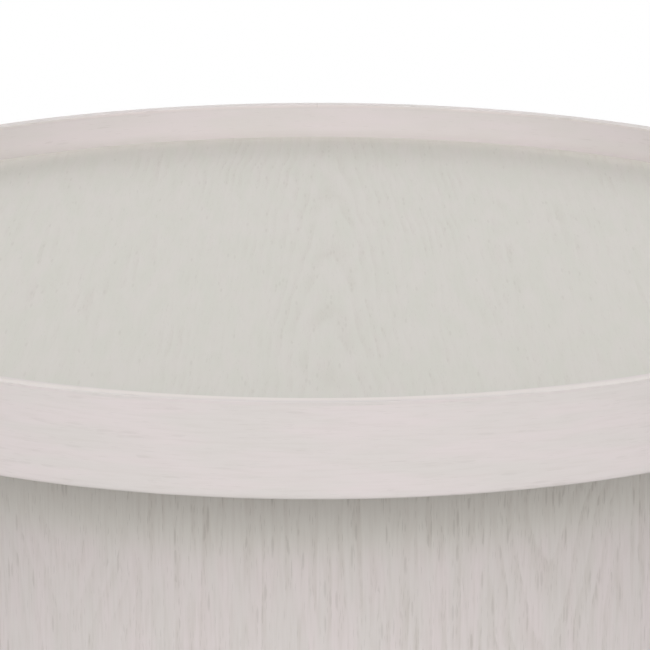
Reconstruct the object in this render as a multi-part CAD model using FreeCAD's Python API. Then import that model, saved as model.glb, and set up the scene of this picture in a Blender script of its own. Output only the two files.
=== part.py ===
"""Round pedestal side table: a lipped tray top of white-washed oak veneer on a hollow drum pedestal.

Millimetres, +Z up. The origin is on the floor, on the axis of the table, and the front faces -Y.
The tray is a veneered panel inside a bent hoop. The drum is two bent plywood half shells round a top
plate, a rib ring and a bottom ring, tied by battens and glue blocks, and wrapped in one veneer sheet.
Bolts reach up from inside the drum into the tray, and the table stands on screw levellers that swivel.
"""
import FreeCAD, Part
import math
import os

from FreeCAD import Vector

# Overall sizes
TABLE_HEIGHT = 533.0
TOP_DIAMETER = 508.0
RIM_OVERHANG = 44.0
FLOOR_GAP = 6.0

# Sheet stock and glue
VENEER = 0.6
GLUE_LINE = 0.1
PANEL_CORE = 18.0
RIM_PLY = 4.2
SHELL_PLY = 9.0

# Tray rim
TRAY_DEPTH = 16.0
LIPPING = 1.2
LIPPING_EASE = 0.6
RIM_FOOT_EASE = 0.4
MOST_EASE = 0.9  # an eased corner takes at most this share of its wall

# Drum carcass
TOP_PLATE = 18.0
RIB_RING = 15.0
RIB_RING_WIDTH = 42.0
BOTTOM_RING = 25.0
BOTTOM_RING_WIDTH = 65.0
SPLINE_THICKNESS = 3.0
SPLINE_WIDTH = 14.0
BATTEN_COUNT = 6
BATTEN_WIDTH = 32.0
BATTEN_DEPTH = 22.0
GLUE_BLOCK_LEG = 24.0
GLUE_BLOCK_LENGTH = 70.0

# Countersunk wood screws through the plate and the ring into the battens
SCREW_SHANK = 4.0
SCREW_HEAD = 8.0
SCREW_LENGTH = 50.0
SCREW_CLEARANCE = 0.1

# Bolts, washers, inserts and dowels between the drum and the tray
BOLT_COUNT = 4
BOLT_INSET = 75.0
BOLT_START = 45.0
BOLT_THREAD = 6.0
BOLT_LENGTH = 30.0
BOLT_HEAD = 10.5
BOLT_HEAD_HEIGHT = 3.3
BOLT_KEY = 4.0
BOLT_KEY_DEPTH = 2.0
BOLT_HOLE_CLEARANCE = 0.5
THREAD_CLEARANCE = 0.1
WASHER_DIAMETER = 18.0
WASHER_THICKNESS = 1.6
INSERT_DIAMETER = 10.0
INSERT_LENGTH = 13.0
DOWEL_COUNT = 2
DOWEL_DIAMETER = 8.0
DOWEL_LENGTH = 30.0
DOWEL_START = 0.0

# Screw levellers with a swivelling pad
FOOT_COUNT = 4
FOOT_INSET = 35.0
FOOT_START = 45.0
PAD_DIAMETER = 34.0
PAD_TOP_DIAMETER = 24.0
PAD_SKIRT = 4.0
PAD_HEIGHT = 9.0
PAD_CHAMFER = 1.0
PAD_FLOOR = 3.0
SWIVEL_HEAD = 12.0
SWIVEL_HEAD_HEIGHT = 3.0
SWIVEL_NECK = 7.0
HEX_ACROSS_FLATS = 13.0
HEX_HEIGHT = 5.0
STEM_THREAD = 8.0
STEM_LENGTH = 30.0
STEM_TIP_CHAMFER = 1.0
FOOT_INSERT_DIAMETER = 12.0
FOOT_INSERT_LENGTH = 15.0
FOOT_FLANGE_DIAMETER = 19.0
FOOT_FLANGE = 1.5
RUNNING_CLEARANCE = 0.3

# Radii of the tray, worked inwards from the rim's outside
RIM_RADIUS = TOP_DIAMETER / 2
HOOP_OUTER = RIM_RADIUS - VENEER - GLUE_LINE
HOOP_INNER = HOOP_OUTER - RIM_PLY
PANEL_RADIUS = HOOP_INNER - GLUE_LINE
LIP_OUTER = HOOP_INNER - GLUE_LINE
LIP_INNER = LIP_OUTER - VENEER
FACE_RADIUS = LIP_INNER - GLUE_LINE

# Heights of the tray, worked down from the top of the rim
LIPPING_BOTTOM = TABLE_HEIGHT - LIPPING
RIM_TOP = LIPPING_BOTTOM - GLUE_LINE
TRAY_FLOOR = TABLE_HEIGHT - TRAY_DEPTH
CORE_TOP = TRAY_FLOOR - VENEER - GLUE_LINE
CORE_BOTTOM = CORE_TOP - PANEL_CORE
TRAY_UNDERSIDE = CORE_BOTTOM - GLUE_LINE - VENEER

# Radii of the drum, worked inwards from its veneer
DRUM_RADIUS = RIM_RADIUS - RIM_OVERHANG
SHELL_OUTER = DRUM_RADIUS - VENEER - GLUE_LINE
SHELL_INNER = SHELL_OUTER - SHELL_PLY
CARCASS_RADIUS = SHELL_INNER - GLUE_LINE
BATTEN_INNER = CARCASS_RADIUS - BATTEN_DEPTH
SCREW_RADIUS = CARCASS_RADIUS - BATTEN_DEPTH / 2
BOLT_RADIUS = CARCASS_RADIUS - BOLT_INSET
FOOT_RADIUS = CARCASS_RADIUS - FOOT_INSET

# Heights of a leveller, worked up from the floor
HEAD_BOTTOM = PAD_FLOOR + RUNNING_CLEARANCE
HEAD_TOP = HEAD_BOTTOM + SWIVEL_HEAD_HEIGHT
HEX_BOTTOM = PAD_HEIGHT + RUNNING_CLEARANCE
HEX_TOP = HEX_BOTTOM + HEX_HEIGHT
STEM_TOP = HEX_TOP + STEM_LENGTH

# Heights of the drum carcass
RING_BOTTOM = HEX_TOP + RUNNING_CLEARANCE
RING_TOP = RING_BOTTOM + BOTTOM_RING
PLATE_BOTTOM = TRAY_UNDERSIDE - TOP_PLATE
RIB_BOTTOM = (RING_TOP + PLATE_BOTTOM - RIB_RING) / 2
BATTEN_BOTTOM = RING_TOP + GLUE_LINE
BATTEN_TOP = PLATE_BOTTOM - GLUE_LINE

AXIS = Vector(0, 0, 1)
ORIGIN = Vector(0, 0, 0)
FULL_TURN = 360.0


# Basic solids

def disc(radius, bottom, top, x=0.0):
    """A round plate or peg from one height to another."""
    return Part.makeCylinder(radius, top - bottom, Vector(x, 0, bottom))


def ring(inner, outer, bottom, top):
    """A flat or tall hoop round the table's axis."""
    return disc(outer, bottom, top).cut(disc(inner, bottom, top))


def turned(points, turn=FULL_TURN):
    """A solid turned about the Z axis from (radius, height) corners."""
    corners = [Vector(radius, 0, height) for radius, height in points]
    outline = Part.makePolygon(corners + corners[:1])
    return Part.Face(outline).revolve(ORIGIN, AXIS, turn)


def centred_box(length, width, bottom, top, x=0.0):
    """A box whose middle lies on the X axis."""
    corner = Vector(x - length / 2, -width / 2, bottom)
    return Part.makeBox(length, width, top - bottom, corner)


def hexagon(across_flats, bottom, top):
    """A hexagonal prism on the Z axis."""
    reach = across_flats / 2 / math.cos(math.pi / 6)
    turns = [k * math.pi / 3 for k in range(6)]
    corners = [Vector(reach * math.cos(turn), reach * math.sin(turn), bottom) for turn in turns]
    outline = Part.makePolygon(corners + corners[:1])
    return Part.Face(outline).extrude(Vector(0, 0, top - bottom))


def spun(shape, angle):
    """A copy turned about the table's axis."""
    copy = shape.copy()
    copy.rotate(ORIGIN, AXIS, angle)
    return copy


def around(shape, count, start=0.0):
    """Evenly spaced copies of a solid about the table's axis."""
    return [spun(shape, start + k * FULL_TURN / count) for k in range(count)]


def placed(shape, radius, bottom=0.0):
    """A solid made on the Z axis, moved out along X and up."""
    copy = shape.copy()
    copy.translate(Vector(radius, 0, bottom))
    return copy


def eased(shape, height, radius, size):
    """Takes the corner off the circular edge of one radius at one height."""
    picked = [
        edge
        for edge in shape.Edges
        if hasattr(edge.Curve, "Radius")
        and abs(edge.Curve.Radius - radius) < GLUE_LINE / 2
        and abs(edge.Curve.Center.z - height) < GLUE_LINE / 2
    ]
    return shape.makeChamfer(size, picked)


# Tray top

def insert_holes():
    """Blind holes for the threaded inserts, up into the tray from below."""
    top = TRAY_UNDERSIDE + INSERT_LENGTH + GLUE_LINE
    hole = disc(INSERT_DIAMETER / 2 + GLUE_LINE, TRAY_UNDERSIDE, top, BOLT_RADIUS)
    return around(hole, BOLT_COUNT, BOLT_START)


def dowel_holes():
    """Holes for the locating dowels, through the top plate and up into the tray."""
    hole = disc(DOWEL_DIAMETER / 2 + GLUE_LINE, PLATE_BOTTOM, dowel_top() + GLUE_LINE, BOLT_RADIUS)
    return around(hole, DOWEL_COUNT, DOWEL_START)


def dowel_top():
    """A dowel starts flush with the plate's underside and ends inside the tray's core."""
    return PLATE_BOTTOM + DOWEL_LENGTH


def tray_face_veneer():
    """The oak sheet that is the floor of the tray."""
    return disc(FACE_RADIUS, TRAY_FLOOR - VENEER, TRAY_FLOOR)


def tray_panel_core():
    """The fibreboard panel inside the hoop, drilled for inserts and dowels."""
    return disc(PANEL_RADIUS, CORE_BOTTOM, CORE_TOP).cut(insert_holes() + dowel_holes())


def tray_backing_veneer():
    """The balancing sheet under the panel, drilled with it."""
    sheet = disc(PANEL_RADIUS, TRAY_UNDERSIDE, TRAY_UNDERSIDE + VENEER)
    return sheet.cut(insert_holes() + dowel_holes())


def rim_hoop():
    """The bent plywood hoop that the panel is glued into."""
    return ring(HOOP_INNER, HOOP_OUTER, TRAY_UNDERSIDE, RIM_TOP)


def rim_outer_veneer():
    """The band of oak round the outside, its bottom corner eased by hand."""
    band = ring(RIM_RADIUS - VENEER, RIM_RADIUS, TRAY_UNDERSIDE, RIM_TOP)
    return eased(band, TRAY_UNDERSIDE, RIM_RADIUS, min(RIM_FOOT_EASE, VENEER * MOST_EASE))


def rim_inner_veneer():
    """The band of oak round the inside of the lip, standing on the panel's core."""
    return ring(LIP_INNER, LIP_OUTER, CORE_TOP + GLUE_LINE, RIM_TOP)


def rim_lipping():
    """The solid oak strip that caps the hoop and both veneers, its two top corners eased."""
    strip = ring(LIP_INNER, RIM_RADIUS, LIPPING_BOTTOM, TABLE_HEIGHT)
    size = min(LIPPING_EASE, LIPPING * MOST_EASE)
    return eased(eased(strip, TABLE_HEIGHT, RIM_RADIUS, size), TABLE_HEIGHT, LIP_INNER, size)


# Fasteners between the tray and the drum

def tray_inserts():
    """Threaded brass inserts, flush with the tray's underside."""
    body = disc(INSERT_DIAMETER / 2, TRAY_UNDERSIDE, TRAY_UNDERSIDE + INSERT_LENGTH)
    bore = disc(BOLT_THREAD / 2, TRAY_UNDERSIDE, TRAY_UNDERSIDE + INSERT_LENGTH)
    return around(placed(body.cut(bore), BOLT_RADIUS), BOLT_COUNT, BOLT_START)


def tray_washers():
    """Wide washers under the bolt heads, against the plate's underside."""
    hole = BOLT_THREAD / 2 + THREAD_CLEARANCE
    washer = ring(hole, WASHER_DIAMETER / 2, PLATE_BOTTOM - WASHER_THICKNESS, PLATE_BOTTOM)
    return around(placed(washer, BOLT_RADIUS), BOLT_COUNT, BOLT_START)


def tray_bolts():
    """Button-head bolts with a hexagon key socket, pointing up into the inserts."""
    seat = PLATE_BOTTOM - WASHER_THICKNESS
    head_bottom = seat - BOLT_HEAD_HEIGHT
    crown = BOLT_HEAD_HEIGHT / 2
    shank = BOLT_THREAD / 2 - THREAD_CLEARANCE
    bolt = turned([
        (0, head_bottom),
        (BOLT_HEAD / 2 - crown, head_bottom),
        (BOLT_HEAD / 2, head_bottom + crown),
        (BOLT_HEAD / 2, seat),
        (shank, seat),
        (shank, seat + BOLT_LENGTH),
        (0, seat + BOLT_LENGTH),
    ])
    bolt = bolt.cut(hexagon(BOLT_KEY, head_bottom, head_bottom + BOLT_KEY_DEPTH))
    return around(placed(bolt, BOLT_RADIUS), BOLT_COUNT, BOLT_START)


def tray_dowels():
    """Beech dowels that centre the tray on the drum."""
    dowel = disc(DOWEL_DIAMETER / 2, PLATE_BOTTOM, dowel_top(), BOLT_RADIUS)
    return around(dowel, DOWEL_COUNT, DOWEL_START)


# Drum pedestal

def spline(clearance=0.0):
    """The loose tongue across the shell's seam, on the +X side."""
    thickness = SPLINE_THICKNESS + 2 * clearance
    width = SPLINE_WIDTH + 2 * clearance
    return centred_box(thickness, width, FLOOR_GAP, TRAY_UNDERSIDE, SHELL_OUTER - SHELL_PLY / 2)


def drum_half_shell():
    """One bent plywood half, on the -Y side, grooved along both edges for the splines."""
    tube = ring(SHELL_INNER, SHELL_OUTER, FLOOR_GAP, TRAY_UNDERSIDE)
    corner = Vector(-DRUM_RADIUS, -DRUM_RADIUS - GLUE_LINE / 2, 0)
    half = Part.makeBox(2 * DRUM_RADIUS, DRUM_RADIUS, TABLE_HEIGHT, corner)
    return tube.common(half).cut(around(spline(GLUE_LINE), 2))


def drum_veneer():
    """The oak sheet wrapped round the drum, with its butt seam at the back."""
    wrap = ring(DRUM_RADIUS - VENEER, DRUM_RADIUS, FLOOR_GAP, TRAY_UNDERSIDE)
    seam = Part.makeBox(GLUE_LINE, DRUM_RADIUS, TABLE_HEIGHT, Vector(-GLUE_LINE / 2, 0, 0))
    return wrap.cut(seam)


def wood_screw(clearance=0.0):
    """A countersunk screw on the Z axis, head down at height 0, or the hole for it."""
    shank = SCREW_SHANK / 2 + clearance
    head = SCREW_HEAD / 2 + clearance
    tip = SCREW_LENGTH + clearance
    return turned([
        (0, 0),
        (head, 0),
        (shank, head - shank),
        (shank, tip),
        (0, tip),
    ])


def upward_screws(clearance=0.0):
    """Screws from under the bottom ring, one into the end of each batten."""
    return around(placed(wood_screw(clearance), SCREW_RADIUS, RING_BOTTOM), BATTEN_COUNT)


def downward_screws(clearance=0.0):
    """Screws from the top plate, one into the end of each batten."""
    screw = wood_screw(clearance)
    screw.rotate(ORIGIN, Vector(1, 0, 0), FULL_TURN / 2)
    return around(placed(screw, SCREW_RADIUS, TRAY_UNDERSIDE), BATTEN_COUNT)


def drum_top_plate():
    """The round plate that closes the drum and carries the tray."""
    bolt_hole = disc(BOLT_THREAD / 2 + BOLT_HOLE_CLEARANCE, PLATE_BOTTOM, TRAY_UNDERSIDE, BOLT_RADIUS)
    holes = around(bolt_hole, BOLT_COUNT, BOLT_START) + dowel_holes() + downward_screws(SCREW_CLEARANCE)
    return disc(CARCASS_RADIUS, PLATE_BOTTOM, TRAY_UNDERSIDE).cut(holes)


def batten_blank(clearance, bottom, top):
    """A batten's outline on the +X side, its outer face curved to the shell."""
    depth = BATTEN_DEPTH + 2 * clearance
    width = BATTEN_WIDTH + 2 * clearance
    block = centred_box(2 * depth, width, bottom, top, BATTEN_INNER - clearance + depth)
    return block.common(disc(CARCASS_RADIUS + clearance, bottom, top))


def drum_battens():
    """Upright battens between the bottom ring and the top plate."""
    batten = batten_blank(0.0, BATTEN_BOTTOM, BATTEN_TOP)
    holes = upward_screws(SCREW_CLEARANCE) + downward_screws(SCREW_CLEARANCE)
    return [upright.cut(holes) for upright in around(batten, BATTEN_COUNT)]


def drum_rib_ring():
    """The ring that keeps the shell round at mid height, notched for the battens."""
    rib = ring(CARCASS_RADIUS - RIB_RING_WIDTH, CARCASS_RADIUS, RIB_BOTTOM, RIB_BOTTOM + RIB_RING)
    notch = batten_blank(GLUE_LINE, RIB_BOTTOM, RIB_BOTTOM + RIB_RING)
    return rib.cut(around(notch, BATTEN_COUNT))


def drum_bottom_ring():
    """The ring at the foot of the drum, open in the middle so that a hand can reach the bolts."""
    plate = ring(CARCASS_RADIUS - BOTTOM_RING_WIDTH, CARCASS_RADIUS, RING_BOTTOM, RING_TOP)
    stem_hole = disc(STEM_THREAD / 2 + RUNNING_CLEARANCE, RING_BOTTOM, RING_TOP)
    seat_top = RING_BOTTOM + FOOT_INSERT_LENGTH + GLUE_LINE
    seat = disc(FOOT_INSERT_DIAMETER / 2 + GLUE_LINE, RING_BOTTOM, seat_top)
    recess_top = RING_BOTTOM + FOOT_FLANGE + GLUE_LINE
    recess = disc(FOOT_FLANGE_DIAMETER / 2 + GLUE_LINE, RING_BOTTOM, recess_top)
    foot_hole = placed(stem_hole.fuse([seat, recess]), FOOT_RADIUS)
    foot_holes = around(foot_hole, FOOT_COUNT, FOOT_START)
    return plate.cut(foot_holes + upward_screws(SCREW_CLEARANCE))


def glue_block(corner_height, leg):
    """A triangular block in the corner of the shell; a negative leg hangs below its plate."""
    sweep = math.degrees(GLUE_BLOCK_LENGTH / CARCASS_RADIUS)
    block = turned([
        (CARCASS_RADIUS, corner_height),
        (CARCASS_RADIUS - abs(leg), corner_height),
        (CARCASS_RADIUS, corner_height + leg),
    ], sweep)
    return spun(block, -sweep / 2)


def glue_blocks(corner_height, leg):
    """One block in each bay between two battens."""
    return around(glue_block(corner_height, leg), BATTEN_COUNT, FULL_TURN / BATTEN_COUNT / 2)


# Levellers

def foot_inserts():
    """Flanged threaded inserts in the bottom ring, flange flush with its underside."""
    barrel = disc(FOOT_INSERT_DIAMETER / 2, RING_BOTTOM, RING_BOTTOM + FOOT_INSERT_LENGTH)
    flange = disc(FOOT_FLANGE_DIAMETER / 2, RING_BOTTOM, RING_BOTTOM + FOOT_FLANGE)
    bore = disc(STEM_THREAD / 2 + RUNNING_CLEARANCE, RING_BOTTOM, RING_BOTTOM + FOOT_INSERT_LENGTH)
    return around(placed(barrel.fuse(flange).cut(bore), FOOT_RADIUS), FOOT_COUNT, FOOT_START)


def foot_pads():
    """Nylon pads with a pocket that traps the head of the stem and lets it turn."""
    neck_hole = SWIVEL_NECK / 2 + RUNNING_CLEARANCE
    pocket = SWIVEL_HEAD / 2 + RUNNING_CLEARANCE
    pocket_top = HEAD_TOP + RUNNING_CLEARANCE
    pad = turned([
        (0, 0),
        (PAD_DIAMETER / 2 - PAD_CHAMFER, 0),
        (PAD_DIAMETER / 2, PAD_CHAMFER),
        (PAD_DIAMETER / 2, PAD_SKIRT),
        (PAD_TOP_DIAMETER / 2, PAD_HEIGHT),
        (neck_hole, PAD_HEIGHT),
        (neck_hole, pocket_top),
        (pocket, pocket_top),
        (pocket, PAD_FLOOR),
        (0, PAD_FLOOR),
    ])
    return around(placed(pad, FOOT_RADIUS), FOOT_COUNT, FOOT_START)


def foot_stems():
    """Steel stems: a round swivel head, a neck, a hexagon for a spanner and the screw."""
    screw = STEM_THREAD / 2
    shaft = turned([
        (0, HEAD_BOTTOM),
        (SWIVEL_HEAD / 2, HEAD_BOTTOM),
        (SWIVEL_HEAD / 2, HEAD_TOP),
        (SWIVEL_NECK / 2, HEAD_TOP),
        (SWIVEL_NECK / 2, HEX_BOTTOM),
        (screw, HEX_TOP),
        (screw, STEM_TOP - STEM_TIP_CHAMFER),
        (screw - STEM_TIP_CHAMFER, STEM_TOP),
        (0, STEM_TOP),
    ])
    stem = shaft.fuse(hexagon(HEX_ACROSS_FLATS, HEX_BOTTOM, HEX_TOP)).removeSplitter()
    return around(placed(stem, FOOT_RADIUS), FOOT_COUNT, FOOT_START)


# All the pieces by name

def numbered(name, solids):
    """Separate pieces that are alike, each under its own number."""
    return {f"{name}_{k}": solid for k, solid in enumerate(solids, 1)}


def pieces():
    """Every piece of the table, keyed by the name of its node."""
    front = drum_half_shell()
    splines = around(spline(), 2)
    return {
        "tray_face_veneer": tray_face_veneer(),
        "tray_panel_core": tray_panel_core(),
        "tray_backing_veneer": tray_backing_veneer(),
        "rim_hoop": rim_hoop(),
        "rim_outer_veneer": rim_outer_veneer(),
        "rim_inner_veneer": rim_inner_veneer(),
        "rim_lipping": rim_lipping(),
        "tray_inserts": Part.makeCompound(tray_inserts()),
        "tray_washers": Part.makeCompound(tray_washers()),
        "tray_bolts": Part.makeCompound(tray_bolts()),
        "tray_dowels": Part.makeCompound(tray_dowels()),
        "drum_shell_front": front,
        "drum_shell_back": spun(front, FULL_TURN / 2),
        "drum_spline_right": splines[0],
        "drum_spline_left": splines[1],
        "drum_veneer": drum_veneer(),
        "drum_top_plate": drum_top_plate(),
        "drum_rib_ring": drum_rib_ring(),
        "drum_bottom_ring": drum_bottom_ring(),
        "glue_blocks_top": Part.makeCompound(glue_blocks(BATTEN_TOP, -GLUE_BLOCK_LEG)),
        "glue_blocks_bottom": Part.makeCompound(glue_blocks(BATTEN_BOTTOM, GLUE_BLOCK_LEG)),
        "top_plate_screws": Part.makeCompound(downward_screws()),
        "bottom_ring_screws": Part.makeCompound(upward_screws()),
        "foot_inserts": Part.makeCompound(foot_inserts()),
        **numbered("drum_batten", drum_battens()),
        **numbered("foot_pad", foot_pads()),
        **numbered("foot_stem", foot_stems()),
    }


def main():
    os.makedirs("parts", exist_ok=True)
    for name, shape in pieces().items():
        shape.exportStep(f"parts/{name}.step")
        print(f"{name}: {len(shape.Solids)} solids, {shape.Volume:.0f} mm3, valid {shape.isValid()}")


main()
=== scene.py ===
# %% [markdown]
# # A pedestal side table in white-washed oak
#
# The table is a round, shallow tray with a thin raised rim, set on a drum that is a little narrower
# than the tray. Everything that shows is oak veneer under a pale wash and a matt lacquer. Inside the
# drum are plywood, battens, bolts and screw feet. The solids come from the CAD model, and this lesson
# gives them their looks: rounded veneers, real threads and screws, and finishes made of nodes.

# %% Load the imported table
import math

import bmesh
import bpy
from mathutils import Matrix, Vector


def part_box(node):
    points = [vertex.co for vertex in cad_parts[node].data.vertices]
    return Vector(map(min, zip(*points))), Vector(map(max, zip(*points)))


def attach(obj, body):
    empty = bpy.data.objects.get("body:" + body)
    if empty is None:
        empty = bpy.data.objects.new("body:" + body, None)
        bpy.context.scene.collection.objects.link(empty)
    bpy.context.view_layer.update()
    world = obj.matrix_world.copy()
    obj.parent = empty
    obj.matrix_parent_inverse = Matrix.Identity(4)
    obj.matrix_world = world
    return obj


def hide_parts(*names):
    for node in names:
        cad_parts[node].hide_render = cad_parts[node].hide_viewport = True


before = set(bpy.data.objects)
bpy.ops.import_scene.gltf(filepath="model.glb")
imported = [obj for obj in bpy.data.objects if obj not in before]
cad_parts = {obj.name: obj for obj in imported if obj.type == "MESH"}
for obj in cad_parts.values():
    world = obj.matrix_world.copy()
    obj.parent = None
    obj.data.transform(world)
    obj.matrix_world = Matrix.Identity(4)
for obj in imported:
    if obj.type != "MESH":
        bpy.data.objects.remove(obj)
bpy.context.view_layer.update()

# %% [markdown]
# ## Sizes
#
# Nothing is measured twice. The CAD solids already have every radius and height, so each size is read
# from a node's box. The scene is in metres, while wood is easier to think about in millimetres.

# %% Read the sizes from the solids
MM = 0.001


def radius_of(node):
    """Outer radius of a node that is round about the table's axis."""
    low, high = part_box(node)
    return (high.x - low.x) / 2


def heights_of(node):
    """Lowest and highest point of a node."""
    low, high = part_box(node)
    return low.z, high.z


rim_radius = radius_of("rim_outer_veneer")
drum_radius = radius_of("drum_veneer")
panel_radius = radius_of("tray_panel_core")
face_radius = radius_of("tray_face_veneer")
lip_foot, table_height = heights_of("rim_lipping")
rim_foot = heights_of("rim_outer_veneer")[0]
VENEER = 0.6 * MM
lip_inside = panel_radius - VENEER
tray_floor = heights_of("tray_face_veneer")[1]
spans = (2 * rim_radius, 2 * drum_radius, table_height)
print("tray, drum and height in mm:", [round(span / MM) for span in spans])

# %% [markdown]
# ## The camera
#
# The photograph looks down into the tray from a low angle. Its place was found by fitting the tray's
# circles to the curves in the picture. A long lens keeps the back and the front of the rim nearly the
# same width, so the camera stands well back.

# %% Stand the camera where the photographer stood
VIEW_PLACE = (0.0, -1.352886, 0.867522)
VIEW_LENS = 183.80
VIEW_YAW, VIEW_PITCH, VIEW_ROLL = (math.radians(turn) for turn in (0.1402, 15.5916, 0.0205))

lens = bpy.data.cameras.new("photo_view")
lens.sensor_width = 36.0
lens.lens = VIEW_LENS
camera = bpy.data.objects.new("photo_view", lens)
camera.matrix_world = (
    Matrix.Translation(VIEW_PLACE)
    @ Matrix.Rotation(-VIEW_YAW, 4, "Z")
    @ Matrix.Rotation(math.pi / 2 - VIEW_PITCH, 4, "X")
    @ Matrix.Rotation(VIEW_ROLL, 4, "Z")
)
bpy.context.scene.collection.objects.link(camera)
bpy.context.scene.camera = camera
print("camera looks down by", round(math.degrees(VIEW_PITCH), 1), "degrees")

# %% [markdown]
# ## Node trees written as sums
#
# Materials and Geometry Nodes are both trees of boxes and wires, and a script reads better when a pattern
# is a sum. `Field` wraps one socket, and each operator on it adds a Math node. `Graph.node` makes any
# other node: its type, its settings, then the values or wires of its sockets.

# %% A socket that can be added and multiplied
def sum_of(operation):
    """A method that adds one Math node, with this socket first."""
    def method(self, *others):
        return self.math(operation, self, *others)
    return method


def sum_from(operation):
    """The same with this socket second, for a sum that begins with a plain number."""
    def method(self, other):
        return self.math(operation, other, self)
    return method


class Field:
    """One output socket of a tree; sums on it become Math nodes."""

    __add__, __radd__ = sum_of("ADD"), sum_from("ADD")
    __sub__, __rsub__ = sum_of("SUBTRACT"), sum_from("SUBTRACT")
    __mul__, __rmul__ = sum_of("MULTIPLY"), sum_from("MULTIPLY")
    __truediv__ = sum_of("DIVIDE")
    floor, fraction = sum_of("FLOOR"), sum_of("FRACT")
    root, size = sum_of("SQRT"), sum_of("ABSOLUTE")
    at_most, at_least = sum_of("MINIMUM"), sum_of("MAXIMUM")
    below, above = sum_of("LESS_THAN"), sum_of("GREATER_THAN")
    sine, cosine = sum_of("SINE"), sum_of("COSINE")
    # The angle whose tangent is this socket over the other.
    turn_from = sum_of("ARCTAN2")

    def __init__(self, graph, socket):
        self.graph = graph
        self.socket = socket

    def math(self, operation, *values):
        return self.graph.node("ShaderNodeMath", {"operation": operation}, dict(enumerate(values)))

    def rise(self, low, high):
        """0 below low, 1 above high, and a smooth rise between."""
        sockets = {"Value": self, "From Min": low, "From Max": high}
        return self.graph.node("ShaderNodeMapRange", {"interpolation_type": "SMOOTHSTEP"}, sockets)

    def other(self, name):
        """Another output of the same node."""
        return Field(self.graph, socket_named(self.socket.node.outputs, name))


print("a Field adds, multiplies and compares")

# %% A tree that makes its own nodes
def socket_named(sockets, key):
    """A socket by its place in the list, its identifier or its name, among those in use."""
    if isinstance(key, int):
        return sockets[key]
    return next(socket for socket in sockets if socket.enabled and key in (socket.identifier, socket.name))


class Graph:
    """A node tree, and the one method that adds nodes to it."""

    def __init__(self, tree):
        self.tree = tree

    def node(self, kind, settings=None, sockets=None, output=0):
        made = self.tree.nodes.new(kind)
        for name, value in (settings or {}).items():
            setattr(made, name, value)
        for key, value in (sockets or {}).items():
            socket = socket_named(made.inputs, key)
            for item in value if isinstance(value, list) else [value]:
                if isinstance(item, Field):
                    self.tree.links.new(item.socket, socket)
                elif socket.type == "RGBA":
                    socket.default_value = (*item, 1.0)
                else:
                    socket.default_value = item
        if made.outputs:
            return Field(self, socket_named(made.outputs, output))

    def vector(self, x, y, z):
        return self.node("ShaderNodeCombineXYZ", {}, {"X": x, "Y": y, "Z": z})


print("a Graph adds nodes of any kind")

# %% [markdown]
# ## Studio light and floor
#
# The photograph has the flat, even light of a white studio: big soft sources in front and above, and
# light coming back from a white sweep behind. A sun lamp with a wide angle is a softbox that never gets
# too near. Weaker pairs at the sides keep the two ends of the drum from going dark. Each strength was
# fitted to the shading of the drum, the rim and the tray, one lamp at a time, so that a colour renders
# about as bright as it is written.

# %% Hang the soft lamps
SOFT_ANGLE = math.radians(38)
# Degrees above the floor, degrees round from the front, strength.
LAMPS = {
    "low_front": (25, 0, 0.94),
    "low_right": (25, 25, 0.3),
    "low_left": (25, -25, 0.3),
    "side_right": (8, 90, 0.4),
    "side_left": (8, -90, 0.4),
    "middle_front": (45, 0, 0.8),
    "high_front": (70, 0, 0.77),
    "behind_right": (25, 135, 0.45),
    "behind_left": (25, -135, 0.45),
    "sweep_behind": (8, 180, 0.78),
}
for name, (elevation, azimuth, strength) in LAMPS.items():
    lamp = bpy.data.lights.new(name, "SUN")
    lamp.angle = SOFT_ANGLE
    lamp.energy = strength
    hung = bpy.data.objects.new(name, lamp)
    turn, lift = math.radians(azimuth), math.radians(elevation)
    toward = Vector((math.sin(turn) * math.cos(lift), -math.cos(turn) * math.cos(lift), math.sin(lift)))
    hung.matrix_world = toward.to_track_quat("Z", "Y").to_matrix().to_4x4()
    bpy.context.scene.collection.objects.link(hung)
bpy.context.scene.view_settings.view_transform = "Standard"
print("hung", len(LAMPS), "soft lamps")

# %% [markdown]
# The floor is one large pale disc. Near the table it is half a real surface, which holds the shadow, and
# half a white glow. Under the drum and round its foot the glow is taken out, which paints shade there on
# top of the real shadow of the gap at the feet. Further off it fades to plain white for the rays that are
# seen, straight or in a reflection. That gives the white background without putting more light on the table.

# %% Lay the floor
def seen_rays(graph):
    """1 for a ray that ends in a picture: straight, mirrored or through glass."""
    path = graph.node("ShaderNodeLightPath", output="Is Camera Ray")
    return path.at_least(path.other("Is Glossy Ray")).at_least(path.other("Is Transmission Ray"))


WHITE = (1.0, 1.0, 1.0)
FLOOR_PALE = (0.65, 0.65, 0.65)
FLOOR_REACH = 40.0
PAINTED_FOOT_SHADE = (drum_radius - 0.02, drum_radius + 0.1)
FAR_FADE = (0.5, 2.0)
floor_shape = bmesh.new()
bmesh.ops.create_circle(floor_shape, cap_ends=True, radius=FLOOR_REACH, segments=96)
floor_mesh = bpy.data.meshes.new("studio_floor")
floor_shape.to_mesh(floor_mesh)
floor_shape.free()
studio_floor = bpy.data.objects.new("studio_floor", floor_mesh)
bpy.context.scene.collection.objects.link(studio_floor)

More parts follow.
